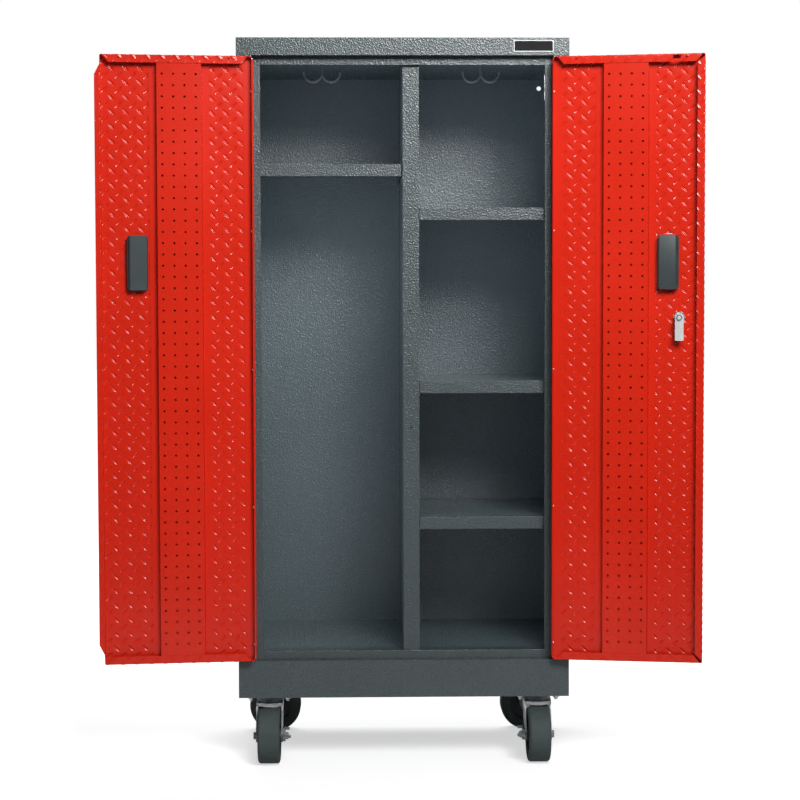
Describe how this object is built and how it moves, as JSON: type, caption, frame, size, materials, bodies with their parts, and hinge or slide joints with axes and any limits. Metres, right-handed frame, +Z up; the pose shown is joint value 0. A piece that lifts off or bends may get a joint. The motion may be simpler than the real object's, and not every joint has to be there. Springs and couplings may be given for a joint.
{
  "type": "locker cabinet",
  "caption": "Mobile storage locker with outward-swinging tread-plate doors, inner divider, shelves, coat hooks and cam lock, on swivel and rigid casters.",
  "frame": {"origin": "on the floor under the middle of the open cabinet's bounding box", "axes": "+X to the right as seen from the front, +Y from the front to the back, +Z up"},
  "size_m": [1.3765, 0.5441, 1.676],
  "materials": {
    "carcass_paint": "hammered textured powder coat, dark slate grey",
    "door_paint": "satin powder coat, bright red",
    "zinc": "bright zinc plate",
    "pull": "moulded grey plastic",
    "hub": "moulded dark grey",
    "tyre": "dark grey rubber tread",
    "plate": "blank black trim plate"
  },
  "bodies": {
    "cabinet": {"side_panel_left": "carcass_paint", "side_panel_right": "carcass_paint", "back_panel": "carcass_paint", "top_cap": "carcass_paint", "ceiling_panel": "carcass_paint", "floor_panel": "carcass_paint", "plinth": "carcass_paint", "floor_risers": "carcass_paint", "divider": "carcass_paint", "shelf_left": "carcass_paint", "shelf_right_upper": "carcass_paint", "shelf_right_middle": "carcass_paint", "shelf_right_lower": "carcass_paint", "shelf_clips": "zinc", "coat_hook_left": "zinc", "coat_hook_right": "zinc", "hook_nuts": "zinc", "post_clip": "zinc", "blank_plate": "plate", "frame_hinge_left": "door_paint", "frame_hinge_right": "door_paint", "hinge_pins": "zinc", "frame_rivets": "zinc", "caster_bolts": "zinc", "caster_top_left": "zinc", "caster_top_right": "zinc", "rigid_fork_left": "zinc", "rigid_fork_right": "zinc", "rear_axles": "zinc"},
    "left_door": {"left_door_pan": "door_paint", "left_door_channel": "door_paint", "left_door_handle": "pull", "left_door_hinge": "door_paint", "left_door_rivets": "zinc"},
    "right_door": {"right_door_pan": "door_paint", "right_door_channel": "door_paint", "right_door_handle": "pull", "right_door_hinge": "door_paint", "right_door_rivets": "zinc", "lock_barrel": "zinc", "lock_nut": "zinc"},
    "cam": {"lock_cam": "zinc", "cam_nut": "zinc"},
    "swivel_left": {"fork_left": "zinc", "axle_left": "zinc"},
    "swivel_right": {"fork_right": "zinc", "axle_right": "zinc"},
    "pedal_left": {"brake_left": "zinc"},
    "pedal_right": {"brake_right": "zinc"},
    "wheel_left": {"hub_left": "hub", "tyre_left": "tyre"},
    "wheel_right": {"hub_right": "hub", "tyre_right": "tyre"},
    "rear_wheel_left": {"rear_hub_left": "hub", "rear_tyre_left": "tyre"},
    "rear_wheel_right": {"rear_hub_right": "hub", "rear_tyre_right": "tyre"}
  },
  "joints": [
    {"name": "left_door_hinge", "type": "hinge", "parent": "cabinet", "child": "left_door", "pos_m": [-0.3377, -0.1895, 0.939], "axis": [0, 0, 1], "range_deg": [-3.75, 174.25]},
    {"name": "right_door_hinge", "type": "hinge", "parent": "cabinet", "child": "right_door", "pos_m": [0.3503, -0.1895, 0.939], "axis": [0, 0, 1], "range_deg": [-170.35, 7.65]},
    {"name": "cam_turn", "type": "hinge", "parent": "right_door", "child": "cam", "pos_m": [0.62912, -0.2648, 1.0367], "axis": [-0.1676, -0.9859, 0], "range_deg": [0, 90]},
    {"name": "swivel_left_turn", "type": "hinge", "parent": "cabinet", "child": "swivel_left", "pos_m": [-0.3077, -0.1245, 0.1335], "axis": [0, 0, 1], "continuous": true},
    {"name": "wheel_left_spin", "type": "hinge", "parent": "swivel_left", "child": "wheel_left", "pos_m": [-0.3077, -0.1625, 0.0635], "axis": [1, 0, 0], "continuous": true},
    {"name": "pedal_left_press", "type": "hinge", "parent": "swivel_left", "child": "pedal_left", "pos_m": [-0.2734, -0.1625, 0.0635], "axis": [1, 0, 0], "range_deg": [0, 20]},
    {"name": "swivel_right_turn", "type": "hinge", "parent": "cabinet", "child": "swivel_right", "pos_m": [0.3203, -0.1245, 0.1335], "axis": [0, 0, 1], "continuous": true},
    {"name": "wheel_right_spin", "type": "hinge", "parent": "swivel_right", "child": "wheel_right", "pos_m": [0.3203, -0.1625, 0.0635], "axis": [1, 0, 0], "continuous": true},
    {"name": "pedal_right_press", "type": "hinge", "parent": "swivel_right", "child": "pedal_right", "pos_m": [0.286, -0.1625, 0.0635], "axis": [1, 0, 0], "range_deg": [0, 20]},
    {"name": "rear_wheel_left_spin", "type": "hinge", "parent": "cabinet", "child": "rear_wheel_left", "pos_m": [-0.3092, 0.1895, 0.0635], "axis": [0, 1, 0], "continuous": true},
    {"name": "rear_wheel_right_spin", "type": "hinge", "parent": "cabinet", "child": "rear_wheel_right", "pos_m": [0.3218, 0.1895, 0.0635], "axis": [0, 1, 0], "continuous": true}
  ]
}
